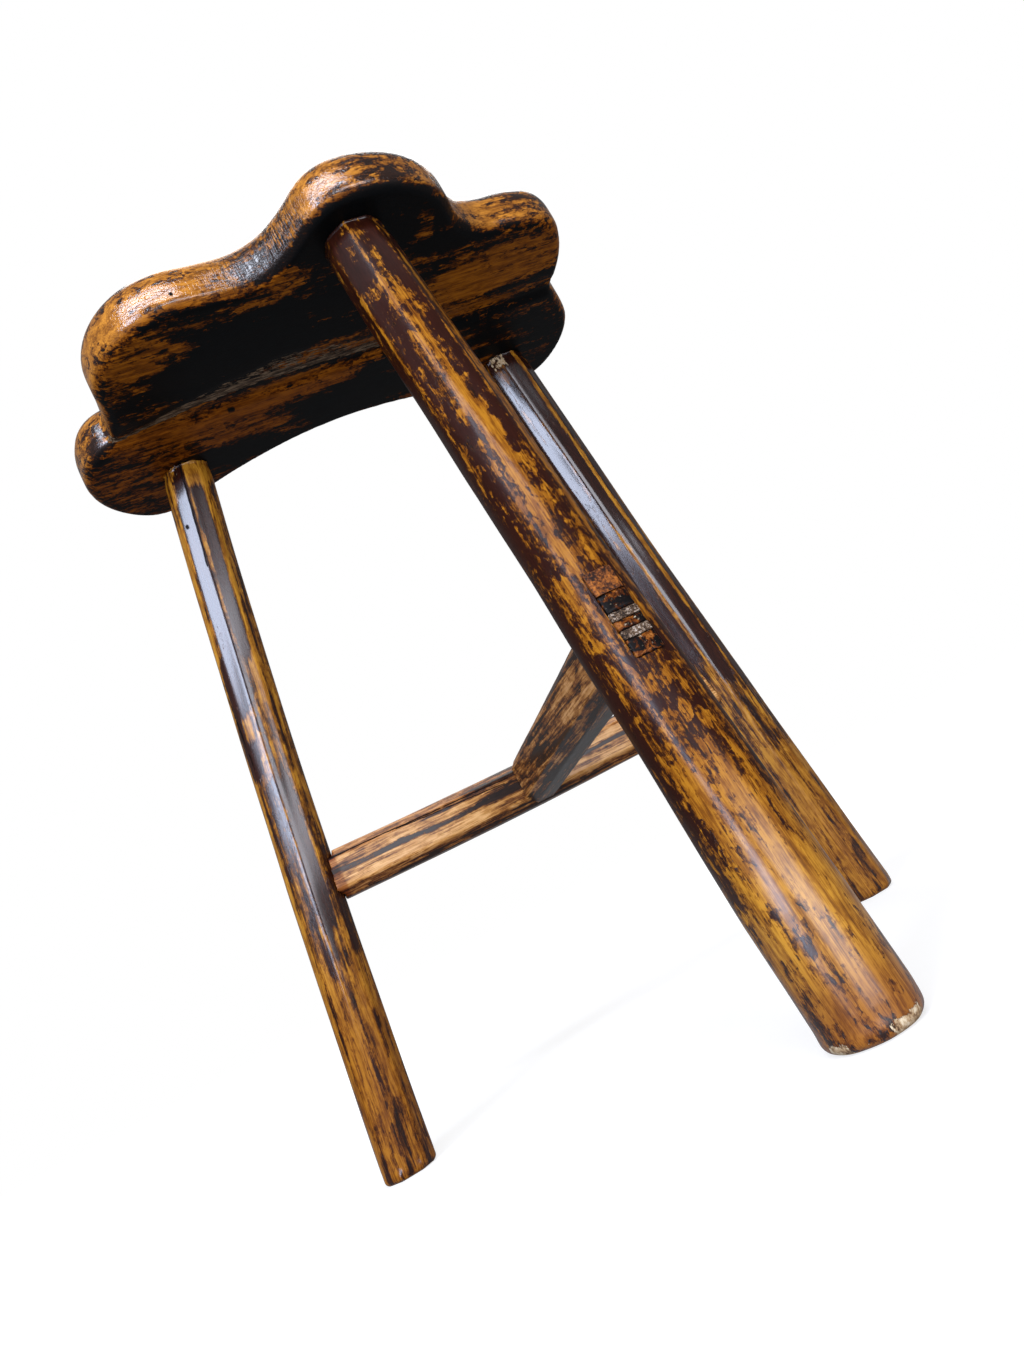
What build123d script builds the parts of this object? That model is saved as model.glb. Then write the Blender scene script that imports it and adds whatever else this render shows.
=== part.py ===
from build123d import *
import math
import os

# Three-legged stool. While it is built, X runs across the stool, Y runs from front to back and is zero at
# the seat's front tip, and Z is the height above the floor. The last lines move the stool so that its
# origin is on the floor, under the middle of the whole.

# Seat slab
seat_width = 368.0
seat_depth = 253.0
seat_thickness = 37.4
seat_underside = 470.0
seat_top_round = 20.0
seat_bottom_chamfer = 5.0
notch_round = 3.0
valley_depth = 3.0
valley_front_run = 18.0
valley_rear_run = 6.0

# The sawn outline is two chains of arcs that meet in the notches at the sides. The points are shares of the
# seat's width from the middle plane and of its depth from the front tip. The hand-sawn lobes differ a little
# from left to right.
front_outline_shares = [
    (0.4160, 0.5357), (0.3988, 0.3179), (0.3465, 0.2520), (0.2756, 0.2385), (0.1743, 0.1427),
    (0.1270, 0.0553), (-0.0135, 0.0076), (-0.0823, 0.0768), (-0.1197, 0.1486), (-0.1950, 0.1946),
    (-0.2570, 0.1883), (-0.4328, 0.3465), (-0.4398, 0.4234), (-0.4384, 0.5926),
]
rear_outline_shares = [
    (-0.4384, 0.5926), (-0.4993, 0.6714), (-0.4350, 0.9790), (-0.3452, 0.9841), (-0.1535, 0.8578),
    (-0.0307, 0.8276), (0.1469, 0.8523), (0.3446, 0.9506), (0.4666, 0.8942), (0.4699, 0.6622),
    (0.4160, 0.5357),
]
front_outline_heading_share = (0.1381, -1.0000)
rear_outline_heading_share = (-1.0000, 0.3420)

# Where the legs enter the seat, and how far their feet stand out from there
front_leg_from_tip = 36.7
rear_leg_from_back = 45.0
rear_leg_spread = 248.0
front_foot_forward = 74.0
rear_foot_out = 56.0
rear_foot_back = 30.6
rear_bow_out = 3.5
rear_bow_back = 10.0

# Front leg: a stick that is full at the foot and tapers faster below its middle than above
front_leg_foot = 46.5
front_leg_middle = 40.5
front_leg_top = 37.0
front_foot_run = 57.0
front_foot_chamfer = 3.0

# Rear legs
rear_leg_width = 33.5
rear_foot_chamfer = 2.0

# The slope at which the arris round each foot is planed off
foot_chamfer_angle = 45.0

# Planed corners of each leg, and the easing that leaves the front leg nearly round, as shares of its thickness
front_corner_share = 0.29
front_easing_share = 0.34
rear_corner_share = 0.27

# Leg tenons through the seat, and the wedge driven into each from above
leg_tenon_across = 24.0
leg_tenon_along = 20.0
leg_wedge_length = 26.0
leg_wedge_head = 4.0
leg_wedge_tip = 1.0

# Rear stretcher
rear_stretcher_height = 179.5
rear_stretcher_deep = 32.4
rear_stretcher_thick = 24.6
rear_stretcher_sag = 2.4
rear_tenon_deep = 20.0
rear_tenon_thick = 10.0
rear_tenon_length = 22.0

# Centre stretcher
centre_stretcher_rear_height = 178.6
centre_stretcher_front_height = 190.0
centre_stretcher_deep = 34.0
centre_stretcher_thick = 26.4
centre_stub_deep = 18.0
centre_stub_thick = 11.0
centre_stub_length = 15.0
centre_tenon_thick = 14.6

# Wedges and packing in the front end of the centre stretcher's through tenon
tenon_wedge_length = 28.0
tenon_wedge_head = 4.6
tenon_wedge_tip = 1.2
tenon_wedge_spacing = 9.8
packing_deep = 12.7
packing_length = 25.0

# Planed corners of the stretchers, as a share of their thickness
stretcher_corner_share = 0.24

# A scribed shoulder stands this far off the rounded surface that it follows
scribe_gap = 0.2
mortise_end_gap = 1.0
overrun = 5.0


def octagon(across, along, corner, easing=0.0):
    """A rectangle with its four corners planed off and, where asked, its arrises eased."""
    a = across / 2
    b = along / 2
    outline = Polyline(
        (a, b - corner), (a - corner, b), (corner - a, b), (-a, b - corner),
        (-a, corner - b), (corner - a, -b), (a - corner, -b), (a, corner - b), close=True,
    )
    face = make_face(outline)
    return fillet(face.vertices(), easing) if easing else face


def bowed_bar(section, start, middle, finish, x_dir):
    """Turn a section along the arc through three points, and a little past both ends."""
    arc = ThreePointArc(start, middle, finish)
    centre = arc.arc_center
    first = Vector(start) - centre
    last = Vector(finish) - centre
    turn = Axis(centre, first.cross(last))
    past = math.degrees(overrun / arc.radius)
    placed = Plane(origin=start, x_dir=x_dir, z_dir=arc % 0) * section
    return revolve(placed.rotate(turn, -past), turn, first.get_angle(last) + 2 * past)


class Leg:
    """A leg from its foot on the floor to its shoulder under the seat."""

    def __init__(self, top, foot, bow, foot_chamfer):
        self.top = Vector(*top)
        self.foot = Vector(*foot)
        self.bow = Vector(*bow)
        self.foot_chamfer = foot_chamfer

    def centre(self, height):
        """The middle of the leg at a height. Above the shoulder it runs on straight."""
        down = 1 - height / seat_underside
        line = self.top + (self.foot - self.top) * down
        if down < 0:
            return line + self.bow * (4 * down)
        return line + self.bow * (4 * down * (1 - down))

    def blank(self, grow=0.0):
        """The leg before its tenon and mortises, cut level at the floor and under the seat."""
        room = seat_width * 2
        between = Pos(0, 0, seat_underside / 2) * Box(room, room, seat_underside)
        return self.stick(grow) & between

    def finished_blank(self):
        """The blank with the arris round its foot planed off."""
        room = seat_width * 2
        align = (Align.CENTER, Align.CENTER, Align.MIN)
        sole = self.section(-self.foot_chamfer)
        flare = extrude(Pos(self.foot) * sole, self.foot_chamfer, taper=-foot_chamfer_angle)
        return self.blank() - (Box(room, room, self.foot_chamfer, align=align) - flare)

    def seat_tenon(self, finish_height):
        """A straight tongue that follows the leg's lean."""
        low = self.centre(seat_underside)
        way = self.centre(finish_height) - low
        section = Pos(low) * Rectangle(leg_tenon_across, leg_tenon_along)
        return extrude(section, way.length, dir=way.normalized())

    def seat_wedge(self):
        """The wedge lies along the seat's depth, so that it spreads the tenon along the seat's grain."""
        tip = self.centre(seat_top - leg_wedge_length)
        head = self.centre(seat_top)
        half_tip = Vector(leg_wedge_tip / 2, 0, 0)
        half_head = Vector(leg_wedge_head / 2, 0, 0)
        corners = [tip - half_tip, tip + half_tip, head + half_head, head - half_head]
        level = [(corner.X, head.Y, corner.Z) for corner in corners]
        blade = extrude(make_face(Polyline(*level, close=True)), leg_tenon_along, both=True)
        return blade & self.seat_tenon(seat_top)


class FrontLeg(Leg):
    def section(self, grow):
        width = front_leg_foot + 2 * grow
        return octagon(width, width, width * front_corner_share, width * front_easing_share)

    def stick(self, grow):
        """A straight stick in three runs: full at the foot, then two tapers."""
        way = self.top - self.foot
        past = overrun * 2
        lower_taper = way.length / 2 - front_foot_run
        upper_taper = way.length / 2
        start = Plane(origin=self.foot - way.normalized() * past, x_dir=(1, 0, 0), z_dir=way)
        end = start * self.section(grow)
        stick = extrude(end, past + front_foot_run)
        for length, narrowing, extra in (
            (lower_taper, front_leg_foot - front_leg_middle, 0),
            (upper_taper, front_leg_middle - front_leg_top, past),
        ):
            taper = math.degrees(math.atan2(narrowing / 2, length))
            end = stick.faces().sort_by(Axis(self.foot, way))[-1]
            stick = stick + extrude(end, length + extra, taper=taper)
        return stick

    def width(self, height):
        """The leg's thickness at a height."""
        lowest = front_foot_run / (self.top - self.foot).length * seat_underside
        middle = seat_underside / 2
        if height < middle:
            share = (height - lowest) / (middle - lowest)
            return front_leg_foot + (front_leg_middle - front_leg_foot) * max(share, 0)
        return front_leg_middle + (front_leg_top - front_leg_middle) * (height - middle) / middle


class RearLeg(Leg):
    def section(self, grow):
        width = rear_leg_width + 2 * grow
        return octagon(width, width, width * rear_corner_share)

    def stick(self, grow):
        """A bowed stick of one thickness."""
        middle = (self.top + self.foot) / 2 + self.bow
        return bowed_bar(self.section(grow), self.foot, middle, self.top, (1, 0, 0))

    def run_at(self, height, reach, grow):
        """A straight run of the leg to both sides of a height. What meets the leg there is scribed to it."""
        way = self.centre(height + overrun) - self.centre(height - overrun)
        across = Plane(origin=self.centre(height), x_dir=(1, 0, 0), z_dir=way)
        return extrude(across * self.section(grow), reach, both=True)


# Places that follow from the sizes above
seat_top = seat_underside + seat_thickness
rear_leg_y = seat_depth - rear_leg_from_back

front = FrontLeg(
    top=(0, front_leg_from_tip, seat_underside),
    foot=(0, front_leg_from_tip - front_foot_forward, 0),
    bow=(0, 0, 0),
    foot_chamfer=front_foot_chamfer,
)


def rear_leg(side):
    return RearLeg(
        top=(side * rear_leg_spread / 2, rear_leg_y, seat_underside),
        foot=(side * (rear_leg_spread / 2 + rear_foot_out), rear_leg_y + rear_foot_back, 0),
        bow=(side * rear_bow_out, rear_bow_back, 0),
        foot_chamfer=rear_foot_chamfer,
    )


rear_left = rear_leg(-1)
rear_right = rear_leg(1)


# Seat
def arc_chain(shares, heading_share):
    """Arcs from point to point, each leaving along the way in which the last one arrived."""
    points = [(x * seat_width, y * seat_depth) for x, y in shares]
    heading = (heading_share[0] * seat_width, heading_share[1] * seat_depth)
    arcs = []
    for start, finish in zip(points, points[1:]):
        arc = TangentArc(start, finish, tangent=heading)
        heading = arc % 1
        arcs.append(arc)
    return arcs


def notch(side):
    """Where the two chains meet, on the left or on the right."""
    x, y = front_outline_shares[-1] if side == "left" else front_outline_shares[0]
    return Vector(x * seat_width, y * seat_depth)


def seat_outline():
    outline = make_face(
        arc_chain(front_outline_shares, front_outline_heading_share)
        + arc_chain(rear_outline_shares, rear_outline_heading_share)
    )
    for side in ("left", "right"):
        corner = min(outline.vertices(), key=lambda vertex: (Vector(vertex) - notch(side)).length)
        outline = fillet(corner, notch_round)
    return outline


def underside_valley():
    """The shallow valley across the underside, from notch to notch."""
    left = notch("left")
    right = notch("right")
    middle = (left + right) / 2 + Vector(0, 0, seat_underside)
    across = Plane(origin=middle, x_dir=(0, 0, 1), z_dir=right - left)
    profile = Polyline(
        (-overrun, -valley_rear_run), (0, -valley_rear_run), (valley_depth, 0),
        (0, valley_front_run), (-overrun, valley_front_run), close=True,
    )
    return extrude(across * make_face(profile), seat_width, both=True)


def seat_part():
    slab = extrude(Pos(0, 0, seat_underside) * seat_outline(), seat_thickness)
    slab = fillet(slab.faces().sort_by(Axis.Z)[-1].edges(), seat_top_round)
    slab = chamfer(slab.faces().sort_by(Axis.Z)[0].edges(), seat_bottom_chamfer)
    slab = slab - underside_valley()
    for leg in (front, rear_left, rear_right):
        slab = slab - leg.seat_tenon(seat_top + overrun)
    return slab


# Rear stretcher
def rear_stretcher_blank(grow=0.0):
    """The bowed bar between the middles of the rear legs."""
    left = rear_left.centre(rear_stretcher_height)
    right = rear_right.centre(rear_stretcher_height)
    low_point = (left + right) / 2 - Vector(0, 0, rear_stretcher_sag)
    section = octagon(
        rear_stretcher_thick + 2 * grow, rear_stretcher_deep + 2 * grow,
        rear_stretcher_thick * stretcher_corner_share,
    )
    return bowed_bar(section, left, low_point, right, (0, 1, 0))


def rear_tenon(end_gap=0.0):
    """One straight tongue runs through the bar and shows as a stopped tenon at each end."""
    centre = rear_right.centre(rear_stretcher_height)
    reach = centre.X - rear_leg_width / 2 + rear_tenon_length + end_gap
    return Pos(0, centre.Y, rear_stretcher_height) * Box(2 * reach, rear_tenon_thick, rear_tenon_deep)


def rear_stretcher_part():
    bar = rear_stretcher_blank()
    for leg in (rear_left, rear_right):
        bar = bar - leg.run_at(rear_stretcher_height, rear_stretcher_deep, scribe_gap)
    bar = bar.solids().sort_by(SortBy.VOLUME)[-1]
    return bar + rear_tenon() - centre_stub(mortise_end_gap)


# Centre stretcher
centre_start = Vector(0, rear_right.centre(rear_stretcher_height).Y, centre_stretcher_rear_height)
centre_finish = Vector(0, front.centre(centre_stretcher_front_height).Y, centre_stretcher_front_height)
centre_length = (centre_finish - centre_start).length
centre_frame = Plane(origin=centre_start, x_dir=(1, 0, 0), z_dir=centre_finish - centre_start)
front_face = centre_length + front.width(centre_stretcher_front_height) / 2
past_front_face = front_leg_foot / 2
centre_tenon_deep = centre_stretcher_deep


def centre_bar(start, length, across, deep, rise=0.0):
    """A square bar along the centre stretcher, from a distance in front of its rear end."""
    align = (Align.CENTER, Align.CENTER, Align.MIN)
    return centre_frame * Pos(0, rise, start) * Box(across, deep, length, align=align)


def centre_stretcher_blank():
    start = rear_stretcher_thick * stretcher_corner_share
    corner = centre_stretcher_thick * stretcher_corner_share
    section = octagon(centre_stretcher_thick, centre_stretcher_deep, corner)
    return centre_frame * extrude(Pos(0, 0, start) * section, centre_length - start)


def centre_stub(end_gap=0.0):
    """The stopped tenon into the rear stretcher."""
    start = rear_stretcher_thick / 2 - centre_stub_length - end_gap
    length = centre_stub_length + end_gap + rear_stretcher_thick
    return centre_bar(start, length, centre_stub_thick, centre_stub_deep)


def through_tenon():
    """The tenon that runs on through the front leg."""
    half = centre_length / 2
    return centre_bar(half, front_face + past_front_face - half, centre_tenon_thick, centre_tenon_deep)


def tenon_wedge(rise):
    """A wedge as wide as the tenon, thin inside the leg and thick at its face."""
    start = front_face - tenon_wedge_length
    finish = front_face + past_front_face
    slope = (tenon_wedge_head - tenon_wedge_tip) / tenon_wedge_length
    thin = tenon_wedge_tip / 2
    thick = (tenon_wedge_tip + slope * (finish - start)) / 2
    outline = Polyline(
        (0, rise - thin, start), (0, rise + thin, start), (0, rise + thick, finish),
        (0, rise - thick, finish), close=True,
    )
    return centre_frame * extrude(make_face(outline), centre_tenon_thick / 2, both=True)


def packing_block():
    start = front_face - packing_length
    rise = (centre_tenon_deep + packing_deep) / 2
    return centre_bar(start, packing_length + past_front_face, centre_tenon_thick, packing_deep, rise)


upper_wedge = tenon_wedge(tenon_wedge_spacing / 2)
lower_wedge = tenon_wedge(-tenon_wedge_spacing / 2)


def centre_stretcher_part():
    bar = centre_stretcher_blank() - rear_stretcher_blank(scribe_gap) - front.blank(scribe_gap)
    bar = bar.solids().sort_by(SortBy.VOLUME)[-1]
    tenon = through_tenon() & (front.blank() + centre_stretcher_blank())
    return bar + centre_stub() + tenon - upper_wedge - lower_wedge


# Legs
def front_leg_part():
    leg = front.finished_blank() - through_tenon() - packing_block()
    return leg + front.seat_tenon(seat_top) - front.seat_wedge()


def rear_leg_part(leg):
    return leg.finished_blank() - rear_tenon(mortise_end_gap) + leg.seat_tenon(seat_top) - leg.seat_wedge()


parts = {
    "seat": seat_part(),
    "front_leg": front_leg_part(),
    "rear_left_leg": rear_leg_part(rear_left),
    "rear_right_leg": rear_leg_part(rear_right),
    "rear_stretcher": rear_stretcher_part(),
    "centre_stretcher": centre_stretcher_part(),
    "upper_tenon_wedge": upper_wedge & front.blank(),
    "lower_tenon_wedge": lower_wedge & front.blank(),
    "tenon_packing": packing_block() & front.blank(),
    "front_leg_wedge": front.seat_wedge(),
    "rear_left_leg_wedge": rear_left.seat_wedge(),
    "rear_right_leg_wedge": rear_right.seat_wedge(),
}

whole = Compound(children=[Compound(part.solids()) for part in parts.values()])
box = whole.bounding_box()
to_origin = Pos(-(box.min.X + box.max.X) / 2, -(box.min.Y + box.max.Y) / 2, -box.min.Z)

os.makedirs("parts", exist_ok=True)
for name, part in parts.items():
    export_step(to_origin * part, f"parts/{name}.step")
    solids = part.solids()
    print(name, len(solids), "solids", round(sum(solid.volume for solid in solids)), "mm3")
print("size", box.size, "moved by", to_origin.position)
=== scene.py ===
import math

import bpy
import numpy as np
from mathutils import Matrix, Vector


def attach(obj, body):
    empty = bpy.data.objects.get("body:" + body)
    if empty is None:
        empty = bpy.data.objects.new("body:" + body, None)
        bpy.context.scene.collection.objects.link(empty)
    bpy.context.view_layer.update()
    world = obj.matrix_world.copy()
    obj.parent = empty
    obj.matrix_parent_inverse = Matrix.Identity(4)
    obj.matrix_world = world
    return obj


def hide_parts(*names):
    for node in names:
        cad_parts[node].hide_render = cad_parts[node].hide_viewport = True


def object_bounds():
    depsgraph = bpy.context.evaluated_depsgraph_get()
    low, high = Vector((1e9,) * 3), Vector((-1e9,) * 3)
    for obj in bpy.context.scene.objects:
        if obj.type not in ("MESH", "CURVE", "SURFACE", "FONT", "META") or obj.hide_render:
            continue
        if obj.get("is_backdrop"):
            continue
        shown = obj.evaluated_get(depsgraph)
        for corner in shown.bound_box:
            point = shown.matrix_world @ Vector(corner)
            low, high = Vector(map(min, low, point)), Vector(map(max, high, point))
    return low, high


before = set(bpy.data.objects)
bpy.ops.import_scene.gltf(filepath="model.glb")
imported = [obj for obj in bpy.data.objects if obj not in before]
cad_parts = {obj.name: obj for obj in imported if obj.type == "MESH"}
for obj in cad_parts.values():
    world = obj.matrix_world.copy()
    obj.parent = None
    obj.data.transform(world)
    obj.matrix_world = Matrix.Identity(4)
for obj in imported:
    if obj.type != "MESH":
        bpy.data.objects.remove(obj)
cad_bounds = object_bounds()


# Seat: one thick slab of dense hardwood, sawn to five lobes with a notch at each side and rounded all
# round with rasp and scraper. It was lacquered nearly black. A century of use has worn the lacquer off the
# rim and the ends to the amber wood, and left a rough valley of torn fibres across the underside.
MM = 0.001


def worked_from(node, name, cell, passes):
    """A dense closed mesh of a solid of the frame, in cells of so many millimetres, its arrises softened by
    so many passes as a scraper leaves them."""
    source = bpy.data.objects[node]
    coords = np.empty(len(source.data.vertices) * 3)
    source.data.vertices.foreach_get("co", coords)
    faces = np.empty(len(source.data.loops), np.int64)
    source.data.loops.foreach_get("vertex_index", faces)
    places, merged = np.unique(np.round(coords.reshape(-1, 3), 7), axis=0, return_inverse=True)
    triangles = merged.ravel()[faces].reshape(-1, 3)
    whole = [t for t in triangles.tolist() if len(set(t)) == 3]
    mesh = bpy.data.meshes.new(name)
    mesh.from_pydata(places.tolist(), [], whole)
    piece = bpy.data.objects.new(name, mesh)
    bpy.context.scene.collection.objects.link(piece)
    remesh = piece.modifiers.new("cells", "REMESH")
    remesh.mode = "VOXEL"
    remesh.voxel_size = cell * MM
    smooth = piece.modifiers.new("scraper", "SMOOTH")
    smooth.factor = 0.5
    smooth.iterations = passes
    dense = bpy.data.meshes.new_from_object(piece.evaluated_get(bpy.context.evaluated_depsgraph_get()))
    piece.modifiers.clear()
    piece.data = dense
    dense.name = name
    return piece


def points_of(piece):
    coords = np.empty(len(piece.data.vertices) * 3)
    piece.data.vertices.foreach_get("co", coords)
    return coords.reshape(-1, 3) / MM


def outward_of(piece):
    normals = np.empty(len(piece.data.vertices) * 3)
    piece.data.vertices.foreach_get("normal", normals)
    return normals.reshape(-1, 3)


def put_points(piece, points):
    piece.data.vertices.foreach_set("co", (points * MM).ravel())
    piece.data.update()
    piece.data.shade_smooth()


def paint(piece, name, values):
    """Keep one number or one place for each point of the mesh, for its finish to read."""
    kind = "FLOAT" if values.ndim == 1 else "FLOAT_VECTOR"
    layer = piece.data.attributes.new(name, kind, "POINT")
    field = "value" if values.ndim == 1 else "vector"
    layer.data.foreach_set(field, values.astype(np.float32).ravel())


def ripple(points, length, seed):
    """Smooth unevenness, mostly between -1 and 1, that changes over about the given lengths in x, y and z."""
    random = np.random.default_rng(seed)
    waves = 7
    turn_per_length = 2.2
    usual_peak = 4.2
    total = np.zeros(len(points))
    for _ in range(waves):
        way = random.normal(size=3) / np.asarray(length, float)
        total += np.sin(points @ (way * turn_per_length) + random.uniform(0, 2 * math.pi))
    return total / usual_peak


def fade(value, start, finish):
    """0 before start, 1 after finish and smooth between them."""
    t = np.clip((value - start) / (finish - start), 0, 1)
    return t * t * (3 - 2 * t)


def spots(points, rows, axes, edge=0.35):
    """The sum of soft ovals, each with its middle, its two half lengths and its strength."""
    total = np.zeros(len(points))
    for u, v, half_u, half_v, strength in rows:
        away = np.hypot((points[:, axes[0]] - u) / half_u, (points[:, axes[1]] - v) / half_v)
        total += strength * (1 - fade(away, 1 - edge, 1 + edge))
    return total


def rub(piece, weights, rounds):
    """Round the piece's arrises by so many rounds of rubbing, more where the weight is more."""
    group = piece.vertex_groups.new(name="rubbed")
    for share in (0.25, 0.5, 0.75, 1.0):
        chosen = np.flatnonzero((weights > share - 0.25) & (weights <= share + (share == 1.0)))
        group.add(chosen.tolist(), share, "REPLACE")
    rubbing = piece.modifiers.new("rubbing", "SMOOTH")
    rubbing.factor = 0.5
    rubbing.iterations = rounds
    rubbing.vertex_group = "rubbed"
    rubbed = bpy.data.meshes.new_from_object(piece.evaluated_get(bpy.context.evaluated_depsgraph_get()))
    piece.modifiers.clear()
    piece.vertex_groups.clear()
    piece.data = rubbed


def linear(hex_colour):
    channels = [int(hex_colour[i:i + 2], 16) / 255 for i in (1, 3, 5)]
    return tuple(c / 12.92 if c <= 0.04045 else ((c + 0.055) / 1.055) ** 2.4 for c in channels) + (1.0,)


def add_node(tree, kind, settings=None, links=None):
    """Add a node. Settings go to its properties or its unlinked sockets, links join it to earlier outputs."""
    node = tree.nodes.new(kind)
    for key, value in (settings or {}).items():
        if isinstance(key, str) and hasattr(node, key):
            setattr(node, key, value)
        else:
            node.inputs[key].default_value = value
    for key, output in (links or {}).items():
        tree.links.new(output, node.inputs[key])
    return node


def ramp_stops(node, stops):
    """Put the colour stops, each a place from 0 to 1 and a colour, into a ramp."""
    elements = node.color_ramp.elements
    while len(elements) < len(stops):
        elements.new(0.5)
    for element, (place, colour) in zip(elements, stops):
        element.position = place
        element.color = linear(colour)


def worn_lacquer(name, wood, lacquer, streak=9.0, length=7.0, broken=1.0, polish=0.8, gloss=0.12, crackle=0.0,
                 rasp=False, marks=(), squash=(1, 1, 1), torn_size=(2.2, 3.6), dirt_and_shade_film="#020709",
                 dry_wood=("#5E4430", "#AE8E68", "#DCC8A6")):
    """Old natural lacquer over oiled hardwood, wiped with wax: a dark sheen, broken by amber wood. It reads
    the piece's own points: the place across and along the grain in millimetres, how much lacquer is kept,
    how bare and how red the wood is, and how soiled and unwaxed it is where nobody rubs it, which on the
    seat's underside is painted shade as well. The tongues of wear are so wide and so many times as long, and
    the film is broken into flakes more or less. Polish is the wax's weight and gloss its roughness. Crackle
    is the size of the cells of a crazed film. Marks are checks, holes and knots, each from a start to a
    finish and of a half width, and squash is how much of each axis counts for them. Torn size is that of torn
    fibres, across and along. The soiled film's colour is given too: dirt on the legs, and by default near
    black with a little blue, which on the seat's underside is painted shade."""
    material = bpy.data.materials.new(name)
    material.use_nodes = True
    tree = material.node_tree
    tree.nodes.clear()
    grain = add_node(tree, "ShaderNodeAttribute", {"attribute_name": "grain"}).outputs["Vector"]
    kept = add_node(tree, "ShaderNodeAttribute", {"attribute_name": "lacquer"}).outputs["Fac"]
    bare = add_node(tree, "ShaderNodeAttribute", {"attribute_name": "bare"}).outputs["Fac"]
    red = add_node(tree, "ShaderNodeAttribute", {"attribute_name": "red"}).outputs["Fac"]
    dirt_and_shade = add_node(tree, "ShaderNodeAttribute", {"attribute_name": "dirt_and_shade"}).outputs["Fac"]

    def pattern(across, along, detail, rough, distort=0.0):
        """Noise whose lumps are so many millimetres across and along the grain."""
        place = add_node(tree, "ShaderNodeMapping", {"Scale": (1 / across, 1 / across, 1 / along)},
                         {"Vector": grain}).outputs["Vector"]
        return add_node(tree, "ShaderNodeTexNoise",
                        {"Scale": 1.0, "Detail": detail, "Roughness": rough, "Distortion": distort},
                        {"Vector": place}).outputs["Fac"]

    def sums(*terms):
        """Add (output, weight) pairs, each output less its middle of a half."""
        total = None
        for output, weight in terms:
            part = add_node(tree, "ShaderNodeMath",
                            {"operation": "MULTIPLY_ADD", 1: weight, 2: -0.5 * weight},
                            {0: output}).outputs[0]
            if total is None:
                total = part
            else:
                total = add_node(tree, "ShaderNodeMath", {"operation": "ADD"}, {0: total, 1: part}).outputs[0]
        return total

    def between(output, low, high):
        return add_node(tree, "ShaderNodeMapRange", {"From Min": low, "From Max": high},
                        {"Value": output}).outputs["Result"]

    def flakes(across, along):
        """One number for each angular flake of about that size."""
        place = add_node(tree, "ShaderNodeMapping", {"Scale": (1 / across, 1 / across, 1 / along)},
                         {"Vector": grain}).outputs["Vector"]
        bent = add_node(tree, "ShaderNodeTexNoise", {"Scale": 1.3, "Detail": 3.0},
                        {"Vector": place}).outputs["Color"]
        place = add_node(tree, "ShaderNodeVectorMath", {"operation": "MULTIPLY_ADD", 1: (0.7,) * 3},
                         {0: bent, 2: place}).outputs[0]
        return add_node(tree, "ShaderNodeTexVoronoi", {"Scale": 1.0}, {"Vector": place}).outputs["Color"]

    # Wear runs along the grain in long tongues, and the film's edge breaks off in angular flakes
    tongues = pattern(streak, streak * length, 4.0, 0.6, 0.4)
    slivers = pattern(1.8, 2.3 * length, 4.0, 0.65, 0.6)
    chips = pattern(2.6, 4.4, 5.0, 0.75)
    fine = pattern(0.7, 16.0, 3.0, 0.6)
    wear = sums((kept, 1.0), (tongues, 1.9), (slivers, 0.9), (chips, 1.2 * broken),
                (flakes(4.2, 9.0), 0.65 * broken), (flakes(1.2, 2.4), 0.40 * broken), (fine, 0.2))
    film = between(wear, -0.006, 0.008)
    stain = between(wear, -0.4, 0.0)

    # Oiled wood: bright amber where it is rubbed most, browner towards the lacquer, dark in its pores
    figure = pattern(3.0, 36.0, 4.0, 0.6, 0.8)
    mottle = pattern(5.0, 11.0, 5.0, 0.65)
    pores = pattern(0.5, 9.0, 2.0, 0.5)
    tone = add_node(tree, "ShaderNodeMath", {"operation": "MULTIPLY_ADD", 1: 0.88},
                    {0: figure, 2: sums((pores, 0.5), (fine, 0.3), (mottle, 0.7))}).outputs[0]
    tone = add_node(tree, "ShaderNodeMath", {"operation": "MULTIPLY_ADD", 1: 0.48},
                    {0: stain, 2: tone}).outputs[0]
    timber = add_node(tree, "ShaderNodeValToRGB", {}, {"Fac": tone})
    ramp_stops(timber, [(0.30, wood[0]), (0.52, wood[1]), (0.76, wood[2]), (0.98, wood[3])])
    timber = add_node(tree, "ShaderNodeMix",
                      {"data_type": "RGBA", "blend_type": "MULTIPLY", 7: linear("#A86A58")},
                      {0: red, 6: timber.outputs["Color"]}).outputs[2]
    # Darker and yellower where it is soiled: dirt on the legs and stretchers, and on the seat's underside
    # painted shade
    timber = add_node(tree, "ShaderNodeMix",
                      {"data_type": "RGBA", "blend_type": "MULTIPLY", 7: linear("#D2BC88")},
                      {0: dirt_and_shade, 6: timber}).outputs[2]

    # Lacquer film: nearly black, with a broad drift between its tones and paler rubbed flecks
    drift = pattern(16.0, 60.0, 3.0, 0.55)
    rubbed = pattern(1.3, 9.0, 4.0, 0.7)
    film_tone = add_node(tree, "ShaderNodeMath", {"operation": "MULTIPLY_ADD", 1: 0.7},
                         {0: drift, 2: sums((rubbed, 0.9))}).outputs[0]
    coat = add_node(tree, "ShaderNodeValToRGB", {}, {"Fac": film_tone})
    ramp_stops(coat, [(0.1, lacquer[0]), (0.42, lacquer[1]), (0.78, lacquer[2])])
    # The film turns to the soiled colour as much: dirt on the legs and stretchers, and on the seat's
    # underside painted shade
    dirt_and_shade_share = add_node(tree, "ShaderNodeMath", {"operation": "MULTIPLY", 1: 0.9}, {0: dirt_and_shade}).outputs[0]
    coat = add_node(tree, "ShaderNodeMix", {"data_type": "RGBA", 7: linear(dirt_and_shade_film)},
                    {0: dirt_and_shade_share, 6: coat.outputs["Color"]}).outputs[2]
    colour = add_node(tree, "ShaderNodeMix", {"data_type": "RGBA"}, {0: film, 6: timber, 7: coat}).outputs[2]

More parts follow.
